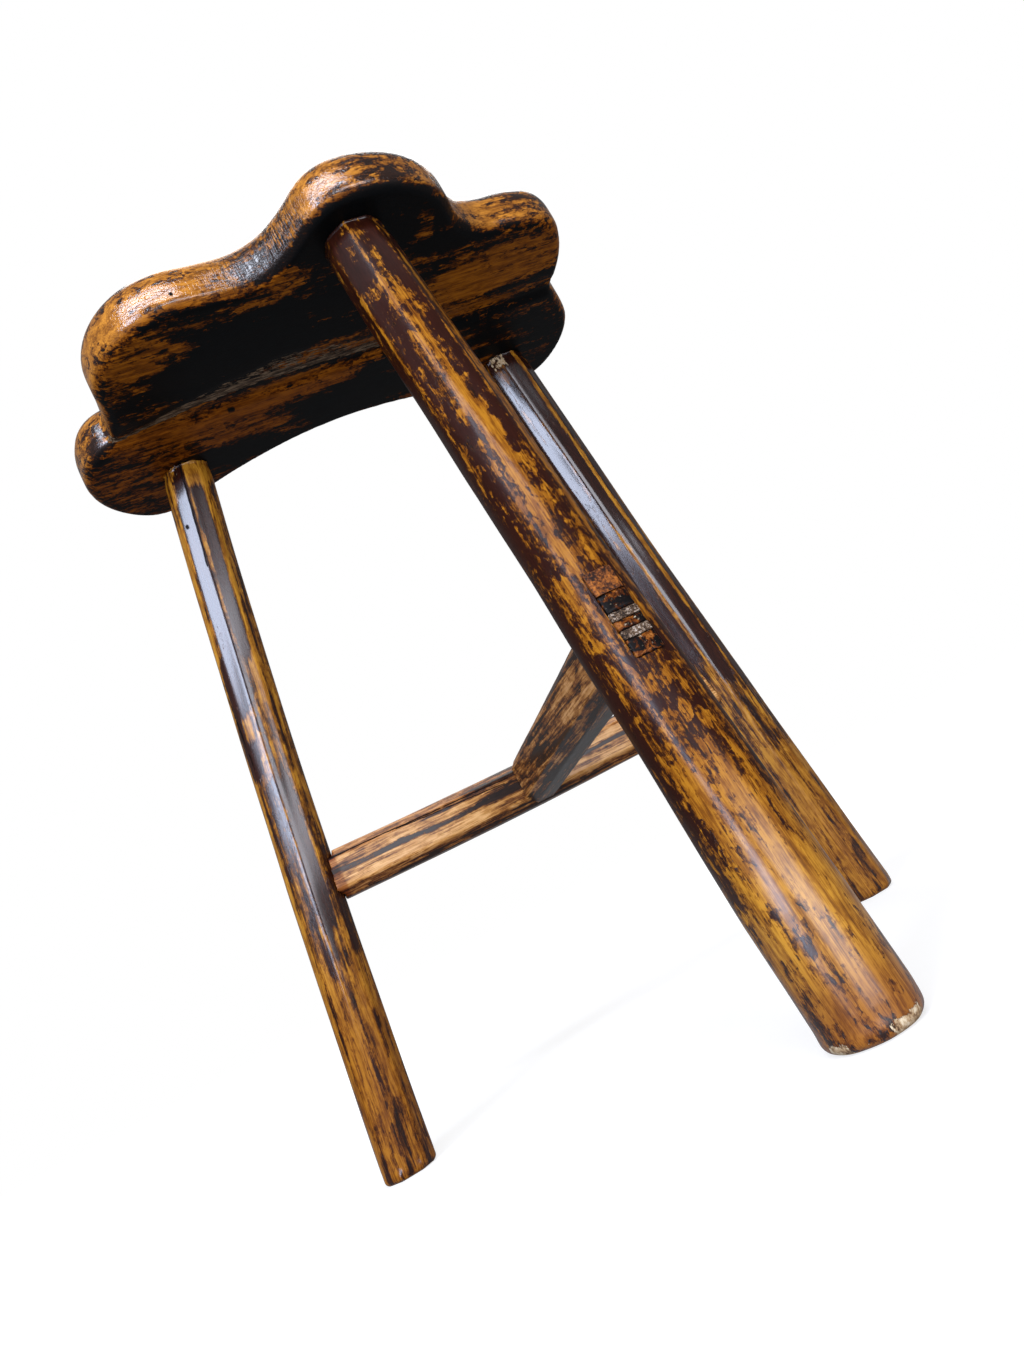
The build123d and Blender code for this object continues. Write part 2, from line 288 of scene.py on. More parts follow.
    # Bare, dry wood where the surface has been knocked or torn away
    torn = pattern(*torn_size, 4.0, 0.7)
    knocked = between(sums((bare, 1.0), (torn, 0.9), (chips, 0.6)), -0.03, 0.03)
    dry = add_node(tree, "ShaderNodeValToRGB", {}, {"Fac": torn})
    ramp_stops(dry, [(0.34, dry_wood[0]), (0.48, dry_wood[1]), (0.62, dry_wood[2])])
    colour = add_node(tree, "ShaderNodeMix", {"data_type": "RGBA"},
                      {0: knocked, 6: colour, 7: dry.outputs["Color"]}).outputs[2]

    # Drying checks, holes and small knots: each a dark line or dot that wanders a little and holds no wax
    lost = add_node(tree, "ShaderNodeMath", {"operation": "MAXIMUM"}, {0: dirt_and_shade, 1: knocked}).outputs[0]
    if marks:
        place = add_node(tree, "ShaderNodeTexCoord").outputs["Object"]
        wander = add_node(tree, "ShaderNodeTexNoise", {"Scale": 120.0, "Detail": 2.0},
                          {"Vector": place}).outputs["Color"]
        wander = add_node(tree, "ShaderNodeVectorMath",
                          {"operation": "MULTIPLY_ADD", 1: (1.6,) * 3, 2: (-0.8,) * 3},
                          {0: wander}).outputs[0]
        place = add_node(tree, "ShaderNodeVectorMath", {"operation": "MULTIPLY", 1: [v / MM for v in squash]},
                         {0: place}).outputs[0]
        place = add_node(tree, "ShaderNodeVectorMath", {"operation": "ADD"}, {0: place, 1: wander}).outputs[0]
        for start, finish, half in marks:
            start, finish = (np.array(v, float) * squash for v in (start, finish))
            run = finish - start
            from_start = add_node(tree, "ShaderNodeVectorMath", {"operation": "SUBTRACT", 1: start},
                                  {0: place}).outputs[0]
            share = add_node(tree, "ShaderNodeVectorMath",
                             {"operation": "DOT_PRODUCT", 1: run / max(run @ run, 1e-6)},
                             {0: from_start}).outputs["Value"]
            share = add_node(tree, "ShaderNodeMath", {"operation": "ADD", 1: 0.0, "use_clamp": True},
                             {0: share}).outputs[0]
            back = add_node(tree, "ShaderNodeVectorMath", {"operation": "SCALE", 0: run},
                            {"Scale": share}).outputs[0]
            away = add_node(tree, "ShaderNodeVectorMath", {"operation": "DISTANCE"},
                            {0: from_start, 1: back}).outputs["Value"]
            dark = between(away, half, half * 0.5)
            colour = add_node(tree, "ShaderNodeMix", {"data_type": "RGBA", 7: linear("#0C0706")},
                              {0: dark, 6: colour}).outputs[2]
            lost = add_node(tree, "ShaderNodeMath", {"operation": "MAXIMUM"}, {0: lost, 1: dark}).outputs[0]

    # Wax lies over lacquer and rubbed wood, thinner on the wood, and none is on torn wood, in dirt or on the
    # seat's unpolished underside
    clean = add_node(tree, "ShaderNodeMath",
                     {"operation": "MULTIPLY_ADD", 1: 0.15 * polish, 2: 0.85 * polish},
                     {0: film}).outputs[0]
    whole = add_node(tree, "ShaderNodeMath", {"operation": "SUBTRACT", 0: 1.0, "use_clamp": True},
                     {1: lost}).outputs[0]
    wax = add_node(tree, "ShaderNodeMath", {"operation": "MULTIPLY"}, {0: clean, 1: whole}).outputs[0]
    rough = add_node(tree, "ShaderNodeMath", {"operation": "MULTIPLY_ADD", 1: 0.3, 2: 0.3},
                     {0: rubbed}).outputs[0]

    # Relief in millimetres: the film's thickness, the open grain and the torn places
    relief = sums((film, 0.012), (fine, 0.004), (pores, 0.004), (chips, 0.014))
    relief = add_node(tree, "ShaderNodeMath", {"operation": "MULTIPLY_ADD", 1: -0.35},
                      {0: knocked, 2: relief}).outputs[0]
    if crackle:
        web = add_node(tree, "ShaderNodeTexVoronoi", {"feature": "DISTANCE_TO_EDGE", "Scale": 1 / crackle},
                       {"Vector": grain}).outputs["Distance"]
        web = between(web, 0.0, 0.12)
        relief = add_node(tree, "ShaderNodeMath", {"operation": "MULTIPLY_ADD", 1: 0.03},
                          {0: web, 2: relief}).outputs[0]
    if rasp:
        rasped = add_node(tree, "ShaderNodeAttribute", {"attribute_name": "rasp"}).outputs["Fac"]
        place = add_node(tree, "ShaderNodeMapping", {"Scale": (0.9, 0.07, 0.9)},
                         {"Vector": grain}).outputs["Vector"]
        teeth = add_node(tree, "ShaderNodeTexNoise", {"Scale": 1.0, "Detail": 3.0, "Roughness": 0.65},
                         {"Vector": place}).outputs["Fac"]
        groove = add_node(tree, "ShaderNodeMath", {"operation": "MULTIPLY"},
                          {0: rasped, 1: between(teeth, 0.44, 0.6)}).outputs[0]
        relief = add_node(tree, "ShaderNodeMath", {"operation": "MULTIPLY_ADD", 1: -0.2},
                          {0: groove, 2: relief}).outputs[0]
        colour = add_node(tree, "ShaderNodeMix", {"data_type": "RGBA", 7: linear("#1A0F0A")},
                          {0: groove, 6: colour}).outputs[2]

    # The wood and the film hardly shine by themselves. The wax over them does
    bump = add_node(tree, "ShaderNodeBump", {"Strength": 1.0, "Distance": MM},
                    {"Height": relief}).outputs["Normal"]
    skin = add_node(tree, "ShaderNodeBsdfPrincipled",
                    {"IOR": 1.5, "Specular IOR Level": 0.06, "Coat IOR": 1.54, "Coat Roughness": gloss},
                    {"Base Color": colour, "Roughness": rough, "Coat Weight": wax, "Normal": bump,
                     "Coat Normal": bump})
    add_node(tree, "ShaderNodeOutputMaterial", {}, {"Surface": skin.outputs["BSDF"]})
    return material


def finish_piece(piece, node, finish):
    """Put the finish on a piece that stands for a solid of the frame."""
    piece.data.materials.clear()
    piece.data.materials.append(finish)
    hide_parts(node)
    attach(piece, "root")


# The valley's bottom line and its front edge across the underside, as x and y
valley_line = np.array([(-159, 53), (-135, 49), (-110, 43), (-86, 40), (-60, 37), (-39, 39), (-16, 40),
                        (23, 44), (76, 39), (110, 36), (146, 34)], float)
valley_front = np.array([(-154, 49), (-127, 38), (-101, 27), (-87, 24), (-64, 19), (-47, 12), (-16, 18),
                         (23, 26), (76, 28), (146, 26)], float)
seat_low = 470.0
seat = worked_from("seat", "worn_seat", cell=1.6, passes=3)
# The lobes are rubbed rounder below than the necks and notches between them
points = points_of(seat)
lobes = spots(points, [(-150, -16, 62, 42, 1.0), (0, -104, 36, 24, 1.0), (150, -16, 62, 42, 1.0),
                       (-140, 120, 60, 60, 0.7), (140, 120, 60, 60, 0.7)], (0, 1))
rub(seat, lobes * (1 - fade(points[:, 2], seat_low + 5, seat_low + 11)), rounds=14)
points = points_of(seat)
outward = outward_of(seat)
line_y = np.interp(points[:, 0], valley_line[:, 0], valley_line[:, 1])
front_y = np.interp(points[:, 0], valley_front[:, 0], valley_front[:, 1])
under = 1 - fade(points[:, 2], seat_low + 4, seat_low + 12)
band = np.clip((points[:, 1] - front_y) / np.maximum(line_y - front_y, 4), 0, 1)
behind = points[:, 1] > line_y
in_band = np.where(behind, 0, fade(band, 0.02, 0.25)) * under
# The valley is torn this deep in front of its bottom line, and its fibres rise and fall in two lengths
torn_depth = 0.45
torn = ripple(points, (26, 2.4, 8), seed=4) * 0.32 + ripple(points, (9, 1.6, 8), seed=5) * 0.22
points[:, 2] += in_band * (torn_depth + torn)
# Use has hollowed the skin in broad and in small dips, less on the flat faces than round the rim
broad_dips = (ripple(points, (90, 60, 40), seed=1) + 1) * 0.25
small_dips = (ripple(points, (30, 22, 20), seed=2) + 1) * 0.10
flat = np.abs(outward[:, 2]) > 0.9
points -= outward * ((broad_dips + small_dips) * np.where(flat, 0.6, 1.0))[:, None]
put_points(seat, points)
# The grain runs across the seat, along X
paint(seat, "grain", points[:, [1, 2, 0]])
down = fade(-outward[:, 2], 0.55, 0.9)
# On the underside: x, y, half length, half width and how much lacquer is kept there
kept_under = 0.62 + spots(points, [
    (-128, -18, 26, 15, -0.60), (-138, -2, 20, 10, -0.25), (-70, -34, 40, 5, -0.30), (-84, 8, 50, 26, 0.50),
    (-20, 0, 70, 34, 0.30), (105, -2, 50, 20, -0.62), (70, 8, 30, 18, -0.35), (20, -75, 60, 26, 0.55),
    (70, -40, 30, 8, 0.50), (-15, 25, 50, 9, -0.40), (60, 30, 60, 5, -0.30), (-110, 62, 55, 16, -0.62),
    (-45, 55, 46, 12, -0.60), (5, 50, 20, 5, -0.30), (0, 84, 44, 20, 0.50), (-78, 82, 30, 9, -0.45),
    (-80, 104, 38, 9, 0.50), (-50, 96, 26, 8, -0.35), (130, 70, 40, 22, 0.15), (150, 100, 26, 30, 0.05),
    (-160, 104, 40, 30, -0.25), (-40, -47, 14, 10, -0.35), (44, -60, 7, 12, -0.55)], (0, 1))
round_rim = 0.15 + 0.35 * ripple(points, (34, 34, 20), seed=9) + spots(points, [
    (-130, -30, 50, 30, -0.05), (-50, -62, 30, 26, 0.22), (0, -90, 40, 30, 0.05), (40, -90, 34, 30, 0.20)],
    (0, 1))
kept = down * kept_under + (1 - down) * round_rim
kept -= in_band * 0.25
paint(seat, "lacquer", kept)
# The wood is torn bare in the valley, most on the left and just in front of its bottom line
torn_edge = np.exp(-((points[:, 1] - line_y + 3.0) / 3.2) ** 2) * under
left_side = fade(-points[:, 0], -60, 10)
bare = 0.06 + torn_edge * (0.16 + 0.20 * left_side) + in_band * (0.10 + 0.32 * left_side)
paint(seat, "bare", bare)
paint(seat, "red", 0.18 * (1 - down) + 0.35 * fade(points[:, 1], 40, 60) * down)
# The necks beside the front lobe keep the rasp's marks, fewer towards the top
neck = spots(points, [(-50, -62, 34, 26, 1.0), (66, -62, 26, 26, 0.6)], (0, 1)) * (1 - down)
paint(seat, "rasp", np.clip(neck, 0, 1) * fade(seat_low + 19 - points[:, 2], -16, 4))
# Faces turned down lose their wax and are painted darker, their film near black: partly a soiled, unpolished
# underside and partly painted shade, as little light reaches it
paint(seat, "dirt_and_shade", fade(-outward[:, 2], 0.35, 0.8))
seat_marks = [((-104, -50, 480), (-104, -50, 480), 1.7), ((-87, 54, 470), (-84, 54, 470), 1.4)]
# Its soiled film keeps the default near-black colour with a little blue, which on the underside is painted
# shade
seat_finish = worn_lacquer("black_lacquer_worn_to_amber_hardwood",
                           ("#CA862B", "#965C18", "#542C0C", "#200F06"), ("#110804", "#271208", "#452816"),
                           streak=8.0, polish=1.0, crackle=2.0, rasp=True, marks=seat_marks,
                           squash=(1, 0.3, 1), torn_size=(1.3, 9.0),
                           dry_wood=("#120C09", "#443426", "#8A745C"))
finish_piece(seat, "seat", seat_finish)


# Front leg: the thickest stick, riven and planed nearly round, fuller towards the foot. It is of the same
# lacquered hardwood, rubbed to amber along its ridges, and its foot has been knocked to bare wood.
def leg_line(top, foot, bow):
    """The middle of a leg at each height, from its top under the seat and its foot, bowed half way up."""
    below_floor, above_seat = -5, 520
    top, foot, bow = (np.array(v, float) for v in (top, foot, bow))

    def middle(height):
        down = 1 - np.clip(height, below_floor, above_seat) / seat_low
        line = top + (foot - top) * down[:, None]
        return line + bow * (4 * down * np.where(down < 0, 1, 1 - down))[:, None]
    return middle


def planed(turn, facets, crisp):
    """The distance from a leg's middle to its surface in a direction, from the facets that enclose it.
    Their arrises are sharper where crisp is higher."""
    total = np.zeros(len(turn))
    for way, distance in facets:
        facing = np.maximum(np.cos(np.radians(turn - way)), 0) / distance
        total += facing ** crisp
    return total ** (-1 / crisp)


def shape_leg(piece, middle, facets, crisp, joint, seed):
    """Move a leg's outer skin onto its facets, as uneven as the plane leaves it, and keep the places along
    the grain. The skin is even round the joint, eased in at the shoulder and left as it is at the foot.
    It gives each point's turn, in degrees from the front to the right, and its height."""
    points = points_of(piece)
    height = points[:, 2]
    offset = points - middle(height)
    turn = np.degrees(np.arctan2(offset[:, 0], -offset[:, 1]))
    far = np.hypot(offset[:, 0], offset[:, 1])
    shoulder = 1.2 * fade(height, seat_low - 11, seat_low)
    wanted = planed(turn, facets(height), crisp) - shoulder
    millimetres_per_degree = 0.3
    uneven = ripple(np.c_[turn * millimetres_per_degree, height, height * 0], (9, 60, 1), seed) * 0.35 - 0.35
    uneven *= 1 - np.exp(-((height - joint) / 26) ** 2)
    skin = (height < seat_low - 0.5) & (far > 0.80 * wanted) & (far < 1.35 * wanted)
    above_foot = fade(height, 0.0, 9.0)
    stretch = np.where(skin, (wanted + uneven) / np.maximum(far, 1), 1)
    stretch = 1 + (stretch - 1) * above_foot
    points[:, :2] += offset[:, :2] * (stretch - 1)[:, None]
    put_points(piece, points)
    offset = points - middle(height)
    paint(piece, "grain", np.c_[offset[:, 0], offset[:, 1], height])
    return turn, height


def strokes(turn, height, rows):
    """Lacquer kept or lost in long strokes: highest and lowest place, middle turn, half turn, strength."""
    total = np.zeros(len(turn))
    for high, low, way, half, strength in rows:
        along = fade(height, low - 6, low + 6) * (1 - fade(height, high - 6, high + 6))
        around = np.abs((turn - way + 180) % 360 - 180)
        total += strength * along * (1 - fade(around, half * 0.7, half * 1.3))
    return total


front_middle = leg_line((0, -61.05, seat_low), (0, -135.05, 0), (0, 0, 0))


def front_facets(height):
    down = 1 - height / seat_low
    size = np.interp(down, [0, 0.5, 0.62, 0.88, 1.0], [18.5, 20.25, 21.5, 23.7, 23.4])
    return [(way, size * share) for way, share in (
        (-92, 1.0), (-46, 1.0), (2, 0.99), (48, 1.0), (92, 1.0), (135, 1.0), (180, 1.0), (-135, 1.0))]


front_leg = worked_from("front_leg", "worn_front_leg", cell=1.0, passes=2)
# Planed in the upper half, and rubbed nearly round below
crisp = np.interp(points_of(front_leg)[:, 2], [150, 290, 390], [6, 9, 24])
turn, height = shape_leg(front_leg, front_middle, front_facets, crisp, joint=190, seed=21)
# The foot's arris is rubbed round, and the foot is drawn in below, most on the right
rub(front_leg, 1 - fade(height, 7, 16), rounds=60)
drawn_in_height = 14
points = points_of(front_leg)
offset = points[:, :2] - front_middle(points[:, 2])[:, :2]
share = 0.03 + 0.10 * (0.5 + 0.5 * np.cos(np.radians(turn - 75)))
share *= np.clip(1 - points[:, 2] / drawn_in_height, 0, 1) ** 2
points[:, :2] -= offset * share[:, None]
put_points(front_leg, points)
height = points[:, 2]
kept = 0.35 - 0.36 * (1 - fade(height, 60, 165)) + strokes(turn, height, [
    (480, 425, 0, 200, 0.30), (480, 300, 20, 14, 0.42), (478, 400, -23, 3, -0.58), (474, 330, 26, 3, -0.58),
    (480, 380, 70, 3, -0.58), (478, 300, -70, 3, -0.5), (330, 190, 0, 60, -0.12), (440, 230, -55, 16, 0.30),
    (400, 250, -14, 9, -0.45), (450, 250, 44, 9, -0.35), (330, 200, 24, 10, 0.22), (260, 150, 60, 16, 0.28),
    (420, 60, -92, 20, 0.42), (300, 180, -30, 12, -0.12), (160, 90, 20, 14, 0.05), (170, 100, 48, 10, 0.22),
    (120, 60, -10, 40, -0.2)])
kept += 0.25 * strokes(turn, height, [(480, 0, 180, 80, 1.0)])
paint(front_leg, "lacquer", kept)
foot_edge = np.exp(-((height - 2.5) / 4.5) ** 2)
knocks = strokes(turn, height, [(30, -20, 10, 22, 0.55), (30, -20, -75, 14, 0.4), (30, -20, 120, 40, 0.3)])
paint(front_leg, "bare", 0.05 + foot_edge * (0.25 + knocks))
paint(front_leg, "red", 0.6 * (1 - fade(height, 5, 50)))
# Duller between the foot and the seat, where it is handled less
paint(front_leg, "dirt_and_shade", 0.75 * fade(height, 40, 125) * (1 - 0.6 * fade(height, 400, 440)))
leg_wood = ("#C08627", "#8E5713", "#4D2909", "#1F0E05")
leg_lacquer = ("#140602", "#2C0F06", "#48200F")
leg_grime = "#2A0D04"
leg_finish = worn_lacquer("maroon_lacquer_worn_to_amber_hardwood", leg_wood, leg_lacquer, streak=4.6,
                          length=9.0, broken=1.2, polish=1.0, gloss=0.25, dirt_and_shade_film=leg_grime)
finish_piece(front_leg, "front_leg", leg_finish)


# Rear legs: squarer sticks with planed corners, bowed a little by the drawknife. The left one has a long
# drying check from the seat down, and patches where the lacquer has broken off with square ends.
def rear_facets(rows):
    def facets(height):
        down = np.clip(1 - height / seat_low, 0, 1)
        size = np.interp(down, [0, 0.3, 0.62, 1], [16.9, 16.5, 16.75, 17.3])
        return [(way, size * share) for way, share in rows]
    return facets


back_facets = [(90, 1.0), (135, 1.1), (180, 1.0), (-135, 1.1)]
left_rows = [(-90, 1.0), (-58, 1.06), (-25, 0.99), (13, 0.99), (50, 1.04)] + back_facets
right_rows = [(-90, 1.0), (-38, 1.02), (2, 1.0), (40, 1.06)] + back_facets
left_middle = leg_line((-124, 110.25, seat_low), (-180, 140.85, 0), (-3.5, 10, 0))
right_middle = leg_line((124, 110.25, seat_low), (180, 140.85, 0), (3.5, 10, 0))

rear_left_leg = worked_from("rear_left_leg", "worn_rear_left_leg", cell=1.2, passes=3)
turn, height = shape_leg(rear_left_leg, left_middle, rear_facets(left_rows), crisp=36, joint=179, seed=31)
kept = 0.30 + strokes(turn, height, [
    (480, 455, 30, 30, -0.60), (480, 464, 38, 12, 0.55), (465, 300, -24, 16, 0.55), (452, 330, 16, 14, 0.50),
    (470, 300, 34, 8, -0.40), (430, 340, -64, 14, -0.45), (337, 256, -44, 18, 0.65),
    (296, 278, -34, 10, -0.9), (250, 150, 10, 16, 0.45), (252, 120, -24, 14, 0.20), (340, 60, -68, 12, -0.35),
    (240, 20, 52, 12, -0.12), (200, 130, 50, 12, 0.30), (130, -10, 0, 70, -0.14), (300, 0, 90, 22, 0.30)])
paint(rear_left_leg, "lacquer", kept)
paint(rear_left_leg, "bare", 0.05 + strokes(turn, height, [(474, 462, -40, 26, 0.3)]) +
      0.3 * np.exp(-((height - 1) / 3) ** 2))
paint(rear_left_leg, "red", 0.3 * (1 - fade(height, 30, 220)))
paint(rear_left_leg, "dirt_and_shade", 0.5 * (1 - fade(height, 80, 170)))
leg_checks = [((-127, 95, 470), (-138, 104, 398), 0.7), ((-139, 102, 428), (-139, 102, 429), 1.5),
              ((-160, 118, 336), (-165, 120, 262), 0.6)]
checked_finish = worn_lacquer("maroon_lacquer_with_drying_checks", leg_wood, leg_lacquer, streak=5.0,
                              length=14.0, broken=0.45, polish=0.9, gloss=0.16, dirt_and_shade_film=leg_grime,
                              marks=leg_checks, squash=(1, 0.12, 1))
finish_piece(rear_left_leg, "rear_left_leg", checked_finish)

rear_right_leg = worked_from("rear_right_leg", "worn_rear_right_leg", cell=1.2, passes=3)
turn, height = shape_leg(rear_right_leg, right_middle, rear_facets(right_rows), crisp=36, joint=179, seed=41)
kept = 0.34 + strokes(turn, height, [
    (480, 200, -46, 18, 0.35), (480, 180, -2, 18, 0.50), (480, 240, 20, 5, -0.45), (480, 180, 40, 12, 0.35),
    (300, 60, -22, 5, -0.35), (120, -10, 0, 70, -0.25)])
paint(rear_right_leg, "lacquer", kept)
paint(rear_right_leg, "bare", 0.05 + strokes(turn, height, [(474, 458, -30, 22, 0.5)]) +
      0.3 * np.exp(-((height - 1) / 3) ** 2))
paint(rear_right_leg, "red", 0.35 * (1 - fade(height, 20, 200)))
polished_finish = worn_lacquer("maroon_lacquer_polished_by_use", leg_wood, leg_lacquer, streak=5.0,
                               length=14.0, broken=0.45, polish=0.9, gloss=0.14)
finish_piece(rear_right_leg, "rear_right_leg", polished_finish)


# Stretchers: two deep bars with planed corners, of the same wood, lacquered less heavily. Their shoulders
# are scribed to the round of what they meet, and the centre one's tenon runs through the front leg.
def shape_bar(piece, along, across, seed):
    """Uneven a bar's skin as the plane leaves it, and keep the places along the grain. Along and across are
    axes, 0 for X and 1 for Y. It gives the points and which way each faces."""
    points = points_of(piece)
    outward = outward_of(piece)
    sizes = np.full(3, 14.0)
    sizes[along] = 90.0
    uneven = (ripple(points, sizes, seed) + 1) * 0.18
    points -= outward * uneven[:, None]
    put_points(piece, points)
    order = [across, 3 - along - across, along]
    # Each bar takes its figure from another part of the pattern
    paint(piece, "grain", points[:, order] + np.array([300.0 * seed, 0, 0]))
    return points, outward


bar_checks = [((-146, 126, 190), (-18, 126, 186), 0.6), ((-100, 126, 188), (-22, 126, 183.5), 0.5)]
stretcher_finish = worn_lacquer("thin_brown_lacquer_worn_to_amber_hardwood",
                                ("#E2B070", "#C08844", "#7E4C20", "#3A1E0E"),
                                ("#140B08", "#2A1A12", "#4A3422"), streak=4.0, length=18.0,
                                broken=0.3, polish=0.4, gloss=0.24, marks=bar_checks, squash=(1, 0.12, 1))
rear_stretcher = worked_from("rear_stretcher", "worn_rear_stretcher", cell=1.1, passes=3)
points, _ = shape_bar(rear_stretcher, along=0, across=1, seed=51)
# The film is kept along the middle of the bowed bar and below it, and a little on top
bar_middle = 177.1 + 2.4 * (points[:, 0] / 150) ** 2
rise = points[:, 2] - bar_middle
kept = 0.14 + 0.50 * np.exp(-((rise - 0.5) / 2.4) ** 2) + 0.30 * fade(-rise, 9, 15) + 0.16 * fade(rise, 7, 10)
kept += 0.12 * fade(points[:, 0], -60, -20) * (1 - fade(points[:, 0], 0, 20))
paint(rear_stretcher, "lacquer", kept)
paint(rear_stretcher, "bare", np.full(len(points), 0.05))
# The end by the left leg is redder and dirtier
scribed = fade(-points[:, 0], 142, 144)
paint(rear_stretcher, "red", 0.15 + 0.45 * scribed + 0.35 * fade(rise, 7, 10) + 0.25 * fade(-rise, 9, 13))
paint(rear_stretcher, "dirt_and_shade", 0.5 * scribed)
finish_piece(rear_stretcher, "rear_stretcher", stretcher_finish)

centre_stretcher = worked_from("centre_stretcher", "worn_centre_stretcher", cell=0.9, passes=2)
points, outward = shape_bar(centre_stretcher, along=1, across=0, seed=61)
kept = 0.34 + 0.28 * fade(-outward[:, 2], 0.5, 0.9) + 0.12 * ripple(points, (20, 60, 10), seed=62)
# The tenon's end, in front of the leg, is darker, dirtier and redder
end = fade(-points[:, 1], 118, 122)
kept += end * (0.16 * fade(points[:, 2], 196, 200) + 0.07)
paint(centre_stretcher, "lacquer", kept)
paint(centre_stretcher, "bare", 0.05 + 0.28 * end)
paint(centre_stretcher, "dirt_and_shade", 0.85 * end)
paint(centre_stretcher, "red", 0.35 + 0.2 * end)
finish_piece(centre_stretcher, "centre_stretcher", stretcher_finish)


# Wedges and packing: splits of dry hardwood, driven into the saw cuts of the through tenon, with a packing
# block above it. Their rough end grain shows on the front of the leg, grey with dirt and wax.
def end_grain(name, pale, dark, middle, fleck):
    """Broken end grain, rubbed with dirt: pale fibre ends in a dark ground, in flecks of that size."""
    material = bpy.data.materials.new(name)
    material.use_nodes = True
    tree = material.node_tree
    tree.nodes.clear()
    place = add_node(tree, "ShaderNodeTexCoord").outputs["Object"]
    cells = add_node(tree, "ShaderNodeTexNoise",
                     {"Scale": 1 / (fleck * MM), "Detail": 3.0, "Roughness": 0.7},
                     {"Vector": place}).outputs["Fac"]
    broad = add_node(tree, "ShaderNodeTexNoise", {"Scale": 1 / (5 * MM), "Detail": 2.0},
                     {"Vector": place}).outputs["Fac"]
    mixed = add_node(tree, "ShaderNodeMath", {"operation": "MULTIPLY_ADD", 1: 0.5},
                     {0: broad, 2: cells}).outputs[0]
    colour = add_node(tree, "ShaderNodeValToRGB", {}, {"Fac": mixed})
    ramp_stops(colour, [(0.65, dark), (0.79, middle), (0.97, pale)])
    bump = add_node(tree, "ShaderNodeBump", {"Strength": 1.0, "Distance": 0.4 * MM},
                    {"Height": cells}).outputs["Normal"]
    skin = add_node(tree, "ShaderNodeBsdfPrincipled",
                    {"Roughness": 0.62, "IOR": 1.5, "Specular IOR Level": 0.2},
                    {"Base Color": colour.outputs["Color"], "Normal": bump})
    add_node(tree, "ShaderNodeOutputMaterial", {}, {"Surface": skin.outputs["BSDF"]})
    return material


wedge_finish = end_grain("dry_wedge_end_grain", "#D8CCBC", "#1A110B", "#6A5038", fleck=0.7)
packing_finish = end_grain("orange_packing_end_grain", "#AE6622", "#200F07", "#6E3A14", fleck=1.3)
for node, name, finish in (("upper_tenon_wedge", "rough_upper_tenon_wedge", wedge_finish),
                           ("lower_tenon_wedge", "rough_lower_tenon_wedge", wedge_finish),
                           ("tenon_packing", "rough_tenon_packing", packing_finish),
                           ("front_leg_wedge", "rough_front_leg_wedge", wedge_finish),
                           ("rear_left_leg_wedge", "rough_rear_left_leg_wedge", wedge_finish),
                           ("rear_right_leg_wedge", "rough_rear_right_leg_wedge", wedge_finish)):
    split = worked_from(node, name, cell=0.45, passes=2)
    points = points_of(split)
    broken_depth = (ripple(points, (1.6, 1.6, 1.6), seed=71) + 1) * 0.12
    points -= outward_of(split) * broken_depth[:, None]
    put_points(split, points)
    finish_piece(split, node, finish)


# Floor and backdrop: pale, plain and matt, and white to the camera. The lacquer mirrors only a share of that
# white, as the photographed stool mirrors a dim room and its blacks stay black.
def white_share(tree):
    """1 for what the camera sees, straight or through glass, and a share of it in reflections."""
    mirrored_share = 0.1
    path = add_node(tree, "ShaderNodeLightPath")
    seen = add_node(tree, "ShaderNodeMath", {"operation": "MAXIMUM"},
                    {0: path.outputs["Is Camera Ray"], 1: path.outputs["Is Transmission Ray"]}).outputs[0]
    mirrored = add_node(tree, "ShaderNodeMath", {"operation": "MULTIPLY", 1: mirrored_share},
                        {0: path.outputs["Is Glossy Ray"]}).outputs[0]
    return add_node(tree, "ShaderNodeMath", {"operation": "MAXIMUM"}, {0: seen, 1: mirrored}).outputs[0]


def pale_ground(name, colour, lift):
    """Matt and pale. It takes a shadow near the stool, within the first of two distances in metres, and turns
    white for the camera towards the second."""
    near, far = 0.35, 0.9
    material = bpy.data.materials.new(name)
    material.use_nodes = True
    tree = material.node_tree
    tree.nodes.clear()
    seen = white_share(tree)
    place = add_node(tree, "ShaderNodeTexCoord").outputs["Object"]
    away = add_node(tree, "ShaderNodeVectorMath", {"operation": "LENGTH"}, {0: place}).outputs["Value"]
    rise = add_node(tree, "ShaderNodeMapRange",
                    {"From Min": near, "From Max": far, "To Min": lift, "To Max": 1.0},
                    {"Value": away}).outputs[0]
    strength = add_node(tree, "ShaderNodeMath", {"operation": "MULTIPLY"}, {0: seen, 1: rise}).outputs[0]
    plain = add_node(tree, "ShaderNodeBsdfPrincipled",
                     {"Base Color": linear(colour), "Roughness": 1.0, "Specular IOR Level": 0.0,
                      "Emission Color": (1, 1, 1, 1)}, {"Emission Strength": strength})
    add_node(tree, "ShaderNodeOutputMaterial", {}, {"Surface": plain.outputs["BSDF"]})
    return material


